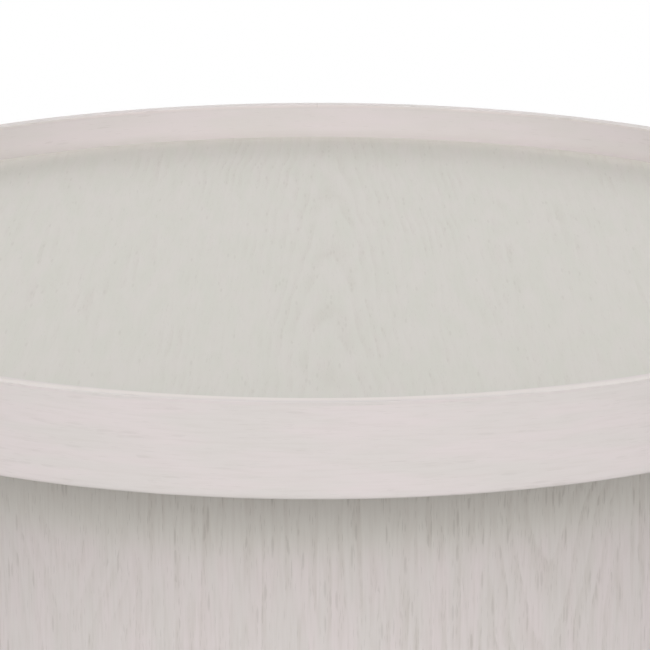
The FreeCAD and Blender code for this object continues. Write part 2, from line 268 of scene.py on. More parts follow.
floor_paint = bpy.data.materials.new("pale_floor")
floor_paint.use_nodes = True
paint = Graph(floor_paint.node_tree)
paint.tree.nodes.clear()
spot = paint.node("ShaderNodeTexCoord", output="Object")
distance = paint.node("ShaderNodeVectorMath", {"operation": "LENGTH"}, {0: spot}, "Value")
# Taking the white glow out under and round the drum paints shade on the floor at the table's foot.
glow_and_foot_shade = 0.5 * distance.rise(*PAINTED_FOOT_SHADE) + 0.5 * distance.rise(*FAR_FADE)
pale = paint.node("ShaderNodeBsdfDiffuse", {}, {"Color": FLOOR_PALE})
white = paint.node("ShaderNodeEmission", {}, {"Color": WHITE, "Strength": 1.0})
shown = paint.node("ShaderNodeMixShader", {}, {0: seen_rays(paint) * glow_and_foot_shade, 1: pale, 2: white})
paint.node("ShaderNodeOutputMaterial", {}, {"Surface": shown})
floor_mesh.materials.append(floor_paint)
print("floor", 2 * FLOOR_REACH, "m across")

# %% Surround it with white
surroundings = bpy.data.worlds.new("white_studio")
surroundings.use_nodes = True
bpy.context.scene.world = surroundings
sky = Graph(surroundings.node_tree)
sky.tree.nodes.clear()
glow = sky.node("ShaderNodeBackground", {}, {"Color": WHITE, "Strength": seen_rays(sky)})
sky.node("ShaderNodeOutputWorld", {}, {"Surface": glow})
print(surroundings.name, "is seen straight and in reflections")

# %% [markdown]
# ## How a finish is mixed
#
# A finish is a material whose pattern is worked out in millimetres from the piece's own Object
# coordinates, so a pore is as wide on the rim as on the drum. `Finish` starts the tree, offers noise and
# colour mixing, and closes it with one shader. Only colour, roughness and bump change over a surface; the
# other values are plain numbers on the shader.

# %% A finish and its tools
def screen(red, green, blue):
    """A colour as it reads on a screen, from 0 to 255, turned into light."""
    shares = (red / 255, green / 255, blue / 255)
    return tuple(s / 12.92 if s <= 0.04045 else ((s + 0.055) / 1.055) ** 2.4 for s in shares)


class Finish(Graph):
    """A material in the making, and where a point of the piece lies, in millimetres."""

    def __init__(self, name):
        self.material = bpy.data.materials.new(name)
        self.material.use_nodes = True
        super().__init__(self.material.node_tree)
        self.tree.nodes.clear()
        place = self.node("ShaderNodeTexCoord", output="Object")
        spread = self.node("ShaderNodeVectorMath", {"operation": "SCALE"}, {0: place, "Scale": 1 / MM})
        self.x = self.node("ShaderNodeSeparateXYZ", {}, {0: spread})
        self.y = self.x.other("Y")
        self.z = self.x.other("Z")

    def noise(self, across, along, deep=0.0, detail=2.0):
        """Cloudy noise from 0 to 1, one blob per unit."""
        sockets = {"Vector": self.vector(across, along, deep), "Scale": 1.0, "Detail": detail}
        return self.node("ShaderNodeTexNoise", {}, sockets)

    def mixed(self, amount, first, second):
        """From the first colour to the second as the amount goes from 0 to 1."""
        sockets = {"Factor_Float": amount, "A_Color": first, "B_Color": second}
        return self.node("ShaderNodeMix", {"data_type": "RGBA"}, sockets, "Result_Color")

    def close(self, colour, roughness, height, relief, **plain):
        """The shader at the end: bump of so many millimetres, and plain numbers for the rest."""
        sockets = {"Strength": 1.0, "Distance": relief * MM, "Height": height}
        bump = self.node("ShaderNodeBump", {}, sockets)
        sockets = {"Base Color": colour, "Roughness": roughness, "Normal": bump}
        sockets.update({name.replace("_", " "): value for name, value in plain.items()})
        shader = self.node("ShaderNodeBsdfPrincipled", {}, sockets)
        self.node("ShaderNodeOutputMaterial", {}, {"Surface": shader})
        return self.material


print("warm white", [round(value, 3) for value in screen(220, 211, 208)])

# %% [markdown]
# ## White-washed oak
#
# Oak shows three things. Growth rings make arches where a leaf of veneer is sliced through the middle
# of the log and straight lines towards its edges. Each ring begins with a band of wide pores, which are
# cut open as short dark dashes along the grain. And the wash is uneven: a little pinker here and greyer
# there, and in patches thick enough to hide the grain. An image would do this for one piece only. Here
# the rings are a distance from the heart of the leaf, the pores are stretched Voronoi cells that crowd
# where a ring begins, and the wash is noise drawn out along the grain.

# %% Growth rings and pores
PORE_EDGE = (0.2, 0.46)
PORE_SHIFT = 17.3


def ring_start(rings):
    """1 where a growth ring begins, fading through the ring."""
    part = rings.fraction()
    return part.rise(0.0, 0.12) * (1 - part.rise(0.15, 0.85))


def dashes(wood, across, along, shift, pore, crowd):
    """Short dark strokes along the grain, as wide and long as a pore, there in a share of the cells."""
    wide, long = pore
    sockets = {"Vector": wood.vector(across / wide + shift * PORE_SHIFT, along / long, 0.0), "Scale": 1.0}
    cell = wood.node("ShaderNodeTexVoronoi", {"voronoi_dimensions": "2D"}, sockets)
    chance = wood.node("ShaderNodeSeparateColor", {}, {0: cell.other("Color")})
    return (1 - cell.rise(*PORE_EDGE)) * chance.below(crowd)


print("a ring begins dark, and its pores are dashes")

# %% [markdown]
# A leaf has its own heart. Its neighbours come from further along the log and are calmer, so no two look
# alike. Near the heart the rings are arches whose points lean to and fro, and beyond the flank they are
# lines. Noise breaks them up, and where the wash is thick they are taken out again.

# %% The figure of a leaf
# Width and length in millimetres of a blob of noise.
SWAY, RIPPLE, PATCH, VEIL = (40, 260), (6, 120), (9, 34), (22, 120)
SWAY_REACH, RIPPLE_DEPTH = 10, 0.6
LEAN_LENGTH, LEAN_START = 70, 12.6
STRAY_LENGTH, STRAY_START = 90, 5.0
LINE_GAP = 5.2
FLANK_SOFT = 4
VEIL_EDGE = (12, 36)


def cloud(wood, place, blob, deep, detail=1.0):
    """Noise in blobs that are drawn out along the grain."""
    across, along = place
    return wood.noise(across / blob[0], along / blob[1], deep, detail)


def early_wood(
    wood, place, number, strength, heart, leaf, flank, tip, nose, ring, arch, stray, lean, clear, thick,
):
    """How far a point lies where a ring begins, for a leaf of that number and strength.

    In millimetres: the first heart, a leaf's width, the flank where arches end, an arch's tip, its blunt
    nose, the gap of rings across and of arches along, and the lean. Stray is counted in arches. Clear and
    thick are shares: how whole the arches stay and what the wash hides.
    """
    across, along = place

    def wander(length, deep):
        return wood.noise(number, along / length, deep, 1.0) - 0.5

    inside = across - heart - number * leaf + (cloud(wood, place, SWAY, number, 2.0) - 0.5) * SWAY_REACH
    from_heart = inside.size()
    leant = inside + wander(LEAN_LENGTH, LEAN_START) * lean * strength
    ripple = cloud(wood, place, RIPPLE, number, 2.0) * RIPPLE_DEPTH
    blunt = (leant * leant + nose * nose).root() - nose
    strayed = wander(STRAY_LENGTH, STRAY_START) * stray
    arches = ring_start(blunt / ring + (along - tip) / arch + strayed + ripple)
    lines = ring_start(from_heart / LINE_GAP + ripple * 2)
    patch = cloud(wood, place, PATCH, number + 11).rise(0.36, 0.64)
    early = arches * strength * (clear + (1 - clear) * patch)
    beyond = from_heart.rise(flank - FLANK_SOFT, flank + FLANK_SOFT)
    early = early + (lines * patch - early) * beyond
    hidden = cloud(wood, place, VEIL, number + 19).rise(0.36, 0.5) * from_heart.rise(*VEIL_EDGE)
    return early * (1 - thick * hidden)


print("arches near the heart, lines", LINE_GAP, "mm apart beyond the flank")

# %% [markdown]
# The finish is mixed from the broad to the fine: the tint of the wash, the rings and streaks, the fibres,
# then the pores. Open pores are dull and lie deeper than the wood round them, so they also go into the
# roughness and the bump.

# %% The oak finish
LEAF_LIFT = 757.0
SIDE_CALM = 0.55
# How much deeper the pores get in the painted shade under the rim.
PAINTED_SHADE_PORES = 0.3
FIBRE, STREAK, WASH = (0.5, 10), (1.2, 16), (8, 46)
SHORT_PORE, LONG_PORE = (0.34, 5.0), (1.4, 10.0)
RING_BROWN, FIBRE_BROWN, PORE_BROWN = screen(196, 188, 181), screen(188, 180, 172), screen(150, 142, 134)
# The paler colour of the painted highlight on the lip, and the greyer tint of the painted shade under the
# rim.
HIGHLIGHT_PALE, PAINTED_SHADE_TINT = screen(231, 224, 220), screen(217, 213, 207)


def oak(name, lay, rings, bands, pores, crowd, relief, warm, cool, painted_shade=None, painted_highlight=None, **figure):
    """Veneer in leaves side by side; lay gives a point's place across and along the grain.

    Rings, bands and pores say how dark each is, crowd how close the pores stand, relief how deep they are.
    Warm and cool are the wash's two tints. The last two give where shade and a highlight are painted on.
    """
    wood = Finish(name)
    across, along, shade = lay(wood)
    number = ((across - figure["heart"]) / figure["leaf"] + 0.5).floor()
    luck = wood.node("ShaderNodeTexWhiteNoise", {"noise_dimensions": "1D"}, {"W": number}, "Value")
    beside = number.size().at_most(1.0)
    along = along + beside * luck * LEAF_LIFT
    place = across, along
    early = early_wood(wood, place, number, 1 - SIDE_CALM * beside, **figure)
    short = dashes(wood, across, along, number, SHORT_PORE, crowd * (0.12 + early))
    long = dashes(wood, across, along, number + 40, LONG_PORE, crowd * (0.05 + 0.8 * early))
    open_pores = short.at_least(long)
    fibre = cloud(wood, place, FIBRE, number, 3.0)
    streak = cloud(wood, place, STREAK, number + 3).rise(0.4, 0.8) * 0.4
    wash = cloud(wood, place, WASH, number + 7).rise(0.3, 0.7)
    colour = wood.mixed(wash, screen(*warm), screen(*cool))
    # Painted shade: the strip under the rim gets a greyer tint and darker, deeper pores.
    if painted_shade:
        shade_share = painted_shade(wood)
        colour = wood.mixed(shade_share, colour, PAINTED_SHADE_TINT)
        open_pores = open_pores * (1 + PAINTED_SHADE_PORES * shade_share)
    colour = wood.mixed(early * rings + streak * bands, colour, RING_BROWN)
    colour = wood.mixed((fibre - 0.35) * 0.3 * bands, colour, FIBRE_BROWN)
    # Painted highlight: the top of the lip at the front is mixed towards a paler colour.
    if painted_highlight:
        colour = wood.mixed(painted_highlight(wood), colour, HIGHLIGHT_PALE)
    # The dark seams and the painted shade in the corner mix in here, towards the pore brown.
    colour = wood.mixed((open_pores * pores).at_least(shade), colour, PORE_BROWN)
    height = fibre * 0.25 - open_pores - early * 0.15
    return wood.close(colour, 0.62 + 0.1 * open_pores, height, relief, Specular_IOR_Level=0.25)


print("oak is mixed from rings, pores and wash")

# %% [markdown]
# The same finish lies differently on each piece. On the tray it runs front to back, round the drum it
# stands upright, and the rim is a strip whose grain goes round. A wrapped veneer meets itself in a fine
# seam, which a maker turns to where it shows least: outside it is at the back, inside at the front. In
# the corner between tray and rim a little shade is painted on, darker towards the corner.

# %% Lay the veneer on each piece
SEAM_DARK, SEAM_EDGE = 0.35, (0.05, 0.2)
# Painted shade in the corner between tray and rim: how dark, how wide on the floor, how tall on the wall.
PAINTED_CORNER_SHADE, CORNER_WIDE, CORNER_TALL = 0.12, 9.0, 5.0


def from_axis(finish):
    """Distance from the table's axis."""
    return (finish.x * finish.x + finish.y * finish.y).root()


def around_axis(wood, radius, front):
    """Distance round the table on that radius, from the front or from the back, and the seam opposite."""
    turned = wood.x.turn_from(wood.y * (-1 if front else 1))
    reach = turned * (radius / MM)
    return reach, SEAM_DARK * (1 - (math.pi * radius / MM - reach.size()).rise(*SEAM_EDGE))


def tray_lay(wood):
    """The tray's floor, with painted shade in the corner under the rim."""
    edge = face_radius / MM
    return wood.x, wood.y, PAINTED_CORNER_SHADE * from_axis(wood).rise(edge - CORNER_WIDE, edge)


def drum_lay(wood):
    """The drum's wrap, upright and with the points of its arches down."""
    reach, seam = around_axis(wood, drum_radius, True)
    return reach, 0 - wood.z, seam


def rim_lay(wood):
    """The outer strip, whose grain goes round."""
    reach, seam = around_axis(wood, rim_radius, True)
    return wood.z, reach, seam


def inside_lay(wood):
    """The inner strip, with painted shade in the corner where it meets the tray."""
    reach, seam = around_axis(wood, panel_radius, False)
    corner = PAINTED_CORNER_SHADE * (1 - (wood.z - tray_floor / MM).rise(0.0, CORNER_TALL))
    return wood.z, reach, seam.at_least(corner)


def lip_lay(wood):
    """The lip, whose grain goes round and is counted outwards and then down over the edge."""
    reach, seam = around_axis(wood, rim_radius, True)
    return from_axis(wood) - wood.z, reach, seam


print("five ways to lay the veneer, seams", SEAM_DARK, "dark")

# %% [markdown]
# Shade and a highlight are painted on in two places. The top strip of the drum, in the rim's shade, gets
# painted shade: a greyer tint and darker pores. The top of the lip at the front gets a painted highlight,
# a paler colour. Each is a share from 0 to 1, faded at its edges.

# %% Where shade and a highlight are painted on
RIM_SHADE_BAND = (-44.0, -26.0)
LIP_TOP = (-0.3, -0.05)
# Where across the lip's top the painted highlight begins and ends, in millimetres out from its inner edge.
HIGHLIGHT_FROM, HIGHLIGHT_TO = (-2.0, 1.4), (2.0, 5.0)
SIDE_SHIFT, SIDE_WAY = 2.4, (20.0, 130.0)
FRONT_WAY = (-80.0, 120.0)


def rim_shade_painted(wood):
    """The strip of the drum in the rim's shade, where shade is painted on."""
    return (wood.z - rim_foot / MM).rise(*RIM_SHADE_BAND)


def lip_highlight_painted(wood):
    """The top of the lip where a highlight is painted on: at the front, and further out towards the sides."""
    outward = from_axis(wood) - lip_inside / MM - SIDE_SHIFT * wood.x.size().rise(*SIDE_WAY)
    highlight_band = outward.rise(*HIGHLIGHT_FROM) * (1 - outward.rise(*HIGHLIGHT_TO))
    in_front = 1 - wood.y.rise(*FRONT_WAY)
    return (wood.z - table_height / MM).rise(*LIP_TOP) * highlight_band * in_front


print("the lip is", round((rim_radius - lip_inside) / MM, 1), "mm wide")

# %% [markdown]
# The drum's leaves have a bold figure, seven of them round it. On the tray the wash veils most of the
# grain, and the narrow strips of the rim are too faint to show rings. Each piece has its own tint, and the
# inside of the rim a darker one, which is painted shade.

# %% Choose the veneers
WARM = dict(warm=(221, 212, 211), cool=(217, 211, 208))
RIM = dict(warm=(224, 215, 214), cool=(220, 214, 211))
COOL = dict(warm=(214, 210, 204), cool=(211, 209, 201))
# A darker copy of the rim's tint for the inside wall: painted shade.
INNER_PAINTED_SHADE = dict(warm=(216, 208, 208), cool=(213, 207, 205))
DRUM_LEAVES = 7
DRUM_FIGURE = dict(
    heart=91.0, leaf=2 * math.pi * drum_radius / MM / DRUM_LEAVES, flank=27.0, tip=-446.0,
    nose=8.0, ring=6.0, arch=32.0, stray=2.0, lean=34.0,
)
TRAY_FIGURE = dict(
    heart=6.0, leaf=250.0, flank=70.0, tip=33.0, nose=16.0, ring=3.4, arch=100.0, stray=0.0, lean=8.0,
)
STRIP_FIGURE = dict(
    leaf=4000.0, flank=10.0, tip=0.0, nose=40.0, ring=3.0, arch=500.0, stray=0.0, lean=0.0,
)
BOLD = dict(rings=0.3, clear=0.5, thick=0.0, bands=0.6, pores=0.18, crowd=0.3, relief=0.018)
VEILED = dict(rings=0.2, clear=0.25, thick=0.75, bands=0.22, pores=0.085, crowd=0.2, relief=0.005)
FAINT = dict(rings=0.03, clear=0.5, thick=0.0, bands=0.12, pores=0.11, crowd=0.13, relief=0.01)
STREAKED = dict(FAINT, bands=0.34, crowd=0.2, pores=0.08)
drum_oak = oak("oak_drum", drum_lay, **DRUM_FIGURE, **BOLD, **WARM, painted_shade=rim_shade_painted)
rim_oak = oak("oak_rim", rim_lay, heart=350.0, **STRIP_FIGURE, **STREAKED, **RIM)
inside_oak = oak("oak_rim_inside", inside_lay, heart=400.0, **STRIP_FIGURE, **FAINT, **INNER_PAINTED_SHADE)
lip_oak = oak("oak_lip", lip_lay, heart=-180.0, **STRIP_FIGURE, **FAINT, **WARM, painted_highlight=lip_highlight_painted)
tray_oak = oak("oak_tray", tray_lay, **TRAY_FIGURE, **VEILED, **COOL)
print("oak laid on", [finish.name for finish in (drum_oak, rim_oak, inside_oak, lip_oak, tray_oak)])

# %% [markdown]
# ## Turned bands by a rule
#
# The rim's two veneers, its lip and the drum's wrap are all the same kind of piece: a rounded rectangle
# swept round the axis. Geometry Nodes can hold that rule once. A circle's points are moved to the
# corners of the rectangle, several to a corner so that it is rounded, with one more on the flat at each
# side so that the flat shades flat. Curve to Mesh then takes the outline round.

# %% A tree with named sizes
class Shape(Graph):
    """A Geometry Nodes tree whose sizes are named inputs."""

    def __init__(self, name, **sizes):
        super().__init__(bpy.data.node_groups.new(name, "GeometryNodeTree"))
        for size, kind in {**sizes, "Finish": "Material"}.items():
            self.tree.interface.new_socket(size, in_out="INPUT", socket_type="NodeSocket" + kind)
        self.tree.interface.new_socket("Geometry", in_out="OUTPUT", socket_type="NodeSocketGeometry")
        self.given = self.tree.nodes.new("NodeGroupInput")

    def size(self, name):
        return Field(self, socket_named(self.given.outputs, name))

    def smooth(self, geometry, sharp):
        """Smooth faces, with edges sharper than so many degrees left crisp."""
        geometry = self.node("GeometryNodeSetShadeSmooth", {"domain": "FACE"}, {0: geometry})
        bend = self.node("GeometryNodeInputMeshEdgeAngle")
        crisp = bend.above(math.radians(sharp))
        sockets = {0: geometry, "Selection": crisp, "Shade Smooth": False}
        return self.node("GeometryNodeSetShadeSmooth", {"domain": "EDGE"}, sockets)

    def close(self, geometry):
        """Real faces in the chosen finish, as the tree's result."""
        geometry = self.node("GeometryNodeRealizeInstances", {}, {0: geometry})
        sockets = {0: geometry, "Material": self.size("Finish")}
        self.node("NodeGroupOutput", {}, {0: self.node("GeometryNodeSetMaterial", {}, sockets)})
        return self.tree


def floats(*names):
    """Inputs that are plain numbers."""
    return dict.fromkeys(names, "Float")


def grown(name, tree, body, slot, stands_for, **sizes):
    """A plain mesh from a tree at these sizes, riding on a body in place of the CAD nodes it stands for."""
    piece = bpy.data.objects.new(name, bpy.data.meshes.new(name))
    bpy.context.scene.collection.objects.link(piece)
    nodes = piece.modifiers.new("rule", "NODES")
    nodes.node_group = tree
    for item in tree.interface.items_tree:
        if item.in_out == "INPUT":
            nodes[item.identifier] = sizes[item.name]
    shaped = piece.evaluated_get(bpy.context.evaluated_depsgraph_get())
    mesh = bpy.data.meshes.new_from_object(shaped)
    piece.modifiers.remove(nodes)
    piece.data = mesh
    mesh.name = name
    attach(piece, body)
    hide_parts(*stands_for)
    print(name, len(mesh.polygons), "faces")
    return piece


print("trees can be grown into pieces")

# %% The turned band
ROUND_POINTS = 8
BAND_TURNS = 360
band = Shape("turned_band", **floats("Inner", "Outer", "Bottom", "Top", "Foot_Round", "Top_Round"))
index = band.node("GeometryNodeInputIndex")
corner = (index / ROUND_POINTS + 0.001).floor()
step = index - corner * ROUND_POINTS
share = ((step - 1) / (ROUND_POINTS - 3)).at_least(0.0).at_most(1.0)
shoulder = step.above(ROUND_POINTS - 1.5) - step.below(0.5)
turn = (corner + share) * (math.pi / 2)
way = (corner + 0.5) * (math.pi / 2)
side = way.cosine() * math.sqrt(2)
rise = way.sine() * math.sqrt(2)
half_wide = (band.size("Outer") - band.size("Inner")) / 2
half_tall = (band.size("Top") - band.size("Bottom")) / 2
outer_foot = (1 - rise.below(0.0)) * (1 - side.below(0.0))
tall = band.size("Top_Round") + (band.size("Foot_Round") - band.size("Top_Round")) * outer_foot
deep = tall.at_most(half_wide * 1.2)
past = shoulder * 0.5
out = side * (half_wide - deep) + deep * (turn.cosine() - past * turn.sine()) - half_wide
down = rise * (half_tall - tall) + tall * (turn.sine() + past * turn.cosine())
down = down - half_tall - band.size("Bottom")
sockets = {"Resolution": 4 * ROUND_POINTS}
outline = band.node("GeometryNodeCurvePrimitiveCircle", {"mode": "RADIUS"}, sockets)
outline = band.node("GeometryNodeSetPosition", {}, {0: outline, "Position": band.vector(out, down, 0.0)})
sockets = {"Resolution": BAND_TURNS, "Radius": band.size("Outer")}
path = band.node("GeometryNodeCurvePrimitiveCircle", {"mode": "RADIUS"}, sockets)
swept = band.node("GeometryNodeCurveToMesh", {}, {"Curve": path, "Profile Curve": outline})
turned_band = band.close(band.smooth(swept, sharp=40))
print("turned band has inputs", [item.name for item in turned_band.interface.items_tree])

# %% [markdown]
# ## The rim and the drum's wrap
#
# The rim is a bent hoop with a veneer outside and inside and a thin lip glued over the three edges. The
# lip's corners are rounded by sanding, and that soft edge catches the light all round the tray. The
# veneers reach up to the lip, so no gap shows between them.

# %% Grow the bands
drum_foot, drum_top = heights_of("drum_veneer")
CRISP = 0.02 * MM
grown(
    "rim_outer_band", turned_band, "pedestal", "oak_veneer", ["rim_outer_veneer"],
    Inner=rim_radius - VENEER, Outer=rim_radius, Bottom=rim_foot, Top=lip_foot,
    Foot_Round=1.6 * MM, Top_Round=CRISP, Finish=rim_oak,
)
grown(
    "rim_inner_band", turned_band, "pedestal", "oak_veneer", ["rim_inner_veneer"],
    Inner=lip_inside, Outer=panel_radius, Bottom=heights_of("rim_inner_veneer")[0], Top=lip_foot,
    Foot_Round=CRISP, Top_Round=CRISP, Finish=inside_oak,
)
grown(
    "rim_lip", turned_band, "pedestal", "oak_veneer", ["rim_lipping"],
    Inner=lip_inside, Outer=rim_radius, Bottom=lip_foot, Top=table_height,
    Foot_Round=CRISP, Top_Round=0.15 * MM, Finish=lip_oak,
)
grown(
    "drum_wrap", turned_band, "pedestal", "oak_veneer", ["drum_veneer"],
    Inner=drum_radius - VENEER, Outer=drum_radius, Bottom=drum_foot, Top=drum_top,
    Foot_Round=0.3 * MM, Top_Round=CRISP, Finish=drum_oak,
)

# %% [markdown]
# The tray's floor and the pieces inside have the right shape as they are, so they keep their CAD solids
# and only get a finish. The veneer under the tray is the same oak as the one on top.

# %% Dress the tray
def dress(finish, *nodes):
    """Puts a finish on CAD solids whose shape is right as it is."""
    for node in nodes:
        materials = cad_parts[node].data.materials
        materials.clear()
        materials.append(finish)
    print(finish.name, "on", ", ".join(nodes))


dress(tray_oak, "tray_face_veneer", "tray_backing_veneer")

# %% [markdown]
# ## Plywood and board
#
# The carcass is bare birch plywood. Its faces show one ply, with a broad figure, and its edges show all
# of them: pale long grain, darker end grain, and thin brown glue lines. One finish does both, because it
# counts plies through the depth. On a face the count stays the same, and on an edge it changes. The bent
# shells count along the radius, and flat plates count upwards. Half a ply is added so that a face never
# falls on a glue line.

# %% The plywood finish
PLY = 1.5
BIRCH_PALE, BIRCH_DARK = screen(226, 203, 168), screen(203, 172, 131)
END_GRAIN, GLUE_LINE = screen(168, 130, 92), screen(96, 68, 46)
FIGURE_WIDE, FIGURE_LONG, SPECK = 2.2, 55, 0.5


def plywood(name, depth_of, along_of, across_of):
    """Birch plywood; the three functions give a point's depth through the plies and its place on them."""
    ply = Finish(name)
    depth, along, across = depth_of(ply), along_of(ply), across_of(ply)
    sheet = depth / PLY + 0.5
    number = sheet.floor()
    crosswise = (number / 2).fraction() * 2
    straight = ply.noise(across / FIGURE_WIDE, along / FIGURE_LONG, number, 4.0)
    crossed = ply.noise(across / FIGURE_LONG, along / FIGURE_WIDE, number, 4.0)
    figure = straight + (crossed - straight) * crosswise
    speck = ply.noise(ply.x / SPECK, ply.y / SPECK, ply.z / SPECK, 2.0)
    edge = (sheet.fraction() - 0.5).size().rise(0.42, 0.48)
    colour = ply.mixed(figure.rise(0.3, 0.72), BIRCH_PALE, BIRCH_DARK)
    colour = ply.mixed(crosswise * (0.35 + 0.4 * speck), colour, END_GRAIN)
    colour = ply.mixed(edge * 0.7, colour, GLUE_LINE)
    height = figure * 0.5 + speck * 0.5 - edge
    return ply.close(colour, 0.66 + 0.16 * speck, height, 0.06, Specular_IOR_Level=0.3)


# Three ways to measure a flat or upright sheet: up, from left to right, and from front to back.
def upright(finish):
    return finish.z


def sideways(finish):
    return finish.x


def endways(finish):
    return finish.y


def round_axis(radius):
    """Distance round the table's axis on that radius."""
    return lambda finish: finish.x.turn_from(finish.y) * (radius / MM)


def depth_in_wall(inner):
    """Depth through a bent wall, from its inner face."""
    return lambda finish: from_axis(finish) - inner / MM


def depth_in_plate(node):
    """Depth through a flat plate, from its underside."""
    return lambda finish: finish.z - heights_of(node)[0] / MM


print("plywood counts plies of", PLY, "mm")

# %% Put plywood on the carcass
HOOP_WALL = 4.2 * MM
shell_inside = radius_of("drum_top_plate")
hoop_inside = radius_of("rim_hoop") - HOOP_WALL
shell_ply = plywood("ply_shell", depth_in_wall(shell_inside), upright, round_axis(shell_inside))
hoop_ply = plywood("ply_hoop", depth_in_wall(hoop_inside), round_axis(hoop_inside), upright)
dress(shell_ply, "drum_shell_front", "drum_shell_back", "drum_spline_right", "drum_spline_left")
dress(hoop_ply, "rim_hoop")
for plate in ("drum_top_plate", "drum_rib_ring", "drum_bottom_ring"):
    dress(plywood("ply_" + plate, depth_in_plate(plate), sideways, endways), plate)

# %% [markdown]
# The core of the tray is fibreboard, a brown felt of fine pressed fibres with darker clumps. It shows no
# grain, so two sizes of noise are enough, both flattened because the fibres lie down in the press.

# %% The fibreboard finish
FELT_PALE, FELT_DARK, FELT_CLUMP = screen(178, 146, 110), screen(148, 114, 80), screen(126, 95, 66)
felt = Finish("fibreboard")
fibres = felt.noise(felt.x / 0.9, felt.y / 0.9, felt.z / 0.3, 4.0)
clumps = felt.noise(felt.x / 6, felt.y / 6, felt.z / 2, 2.0)
brown = felt.mixed(fibres.rise(0.25, 0.75), FELT_PALE, FELT_DARK)
brown = felt.mixed(clumps.rise(0.45, 0.8) * 0.5, brown, FELT_CLUMP)
dress(felt.close(brown, 0.8 + 0.1 * fibres, fibres, 0.05, Specular_IOR_Level=0.25), "tray_panel_core")

# %% [markdown]
# ## Softwood
#
# The battens, glue blocks and dowels are planed pine. Pine has wide pale spring wood and a thin orange
# line of summer wood in each ring. Rings are distances from the heart of the tree, and a little noise
# along the grain makes them wander, so no two battens are alike.

# %% The softwood finish
RING = 3.4
PINE_PALE, PINE_DARK, SUMMER_WOOD = screen(232, 206, 164), screen(219, 187, 140), screen(188, 138, 86)


def softwood(name, heart_of, along_of):
    """Planed pine; one function gives the distance from the heart and the other the place along the grain."""
    pine = Finish(name)
    heart, along = heart_of(pine), along_of(pine)
    wander = pine.noise(pine.x / 45, pine.y / 45, along / 260, 1.0) * 30
    part = ((heart + wander) / RING).fraction()
    summer = part.rise(0.35, 0.9) * (1 - part.rise(0.93, 1.0))
    fibre = pine.noise(pine.x / 0.6, pine.y / 0.6, along / 24, 3.0)
    colour = pine.mixed(fibre.rise(0.3, 0.75), PINE_PALE, PINE_DARK)
    colour = pine.mixed(summer * 0.62, colour, SUMMER_WOOD)
    return pine.close(colour, 0.6 + 0.15 * fibre, fibre + summer * 0.6, 0.05, Specular_IOR_Level=0.3)


def slanting(finish):
    """Distance up and outwards together, for blocks sawn across the rings."""
    return finish.z + from_axis(finish)


pine_upright = softwood("pine_upright", from_axis, upright)
pine_round = softwood("pine_round", slanting, round_axis(shell_inside))
dress(pine_upright, "tray_dowels", *(f"drum_batten_{k}" for k in range(1, 7)))
dress(pine_round, "glue_blocks_top", "glue_blocks_bottom")

# %% [markdown]
# ## Metal and nylon
#
# Screws, bolts and washers are steel with a bright zinc coat, a little cloudy and scratched. The threaded
# inserts are turned brass, with the fine rings that the tool leaves. The pads of the feet are black moulded
# nylon, slightly grainy, and scuffed grey where they rub on the floor.

# %% The metal finish
def metal(name, bright, dull, smooth, lines):
    """Plated or turned metal: clouds, fine scratches and so many tool lines to a millimetre."""
    coat = Finish(name)
    cloud = coat.noise(coat.x / 3, coat.y / 3, coat.z / 3, 3.0)
    scratch = coat.noise(coat.x / 0.15, coat.y / 2.5, coat.z / 0.15, 2.0)
    tool = (coat.z * (lines * 2 * math.pi)).sine() * 0.5 + 0.5
    colour = coat.mixed(cloud.rise(0.3, 0.7), screen(*bright), screen(*dull))
    roughness = smooth + 0.2 * cloud + 0.12 * scratch.rise(0.55, 0.75)
    return coat.close(colour, roughness, scratch * 0.6 + tool * 0.4, 0.004, Metallic=1.0)


print("metal has clouds, scratches and tool lines")

# %% Zinc, brass and nylon
NYLON_BLACK, NYLON_GREY, NYLON_SCUFF = screen(44, 44, 46), screen(58, 58, 60), screen(128, 126, 123)
NYLON_GRAIN = 0.35
zinc_steel = metal("zinc_steel", bright=(196, 198, 201), dull=(166, 169, 175), smooth=0.22, lines=2.0)
brass = metal("turned_brass", bright=(205, 172, 104), dull=(176, 140, 78), smooth=0.26, lines=3.0)
moulded = Finish("black_nylon")
grain = moulded.noise(*(way / NYLON_GRAIN for way in (moulded.x, moulded.y, moulded.z)), 3.0)
near_floor = 1 - moulded.z.rise(0.1, 0.8)
scuff = moulded.noise(moulded.x / 2, moulded.y / 9, 0.0, 3.0).rise(0.4, 0.7) * near_floor
black = moulded.mixed(grain.rise(0.3, 0.7), NYLON_BLACK, NYLON_GREY)
black = moulded.mixed(scuff * 0.7, black, NYLON_SCUFF)
nylon = moulded.close(black, 0.45 + 0.2 * grain + 0.15 * scuff, grain, 0.03, Specular_IOR_Level=0.45)
dress(zinc_steel, "tray_washers")
dress(brass, "tray_inserts", "foot_inserts")

# %% [markdown]
# ## Turned hardware by nodes
#
# Bolts, wood screws and feet are all turned pieces with a thread. A turned skin is a stack of cones, one
# between each pair of corners. A thread is a rod with many rows of points, pulled in towards its axis by
# how far each point is round the screw. Sockets and cross slots are cut with a boolean, once, before the
# piece is copied round the table.

# %% Tools for turned pieces
WELD = 0.002 * MM


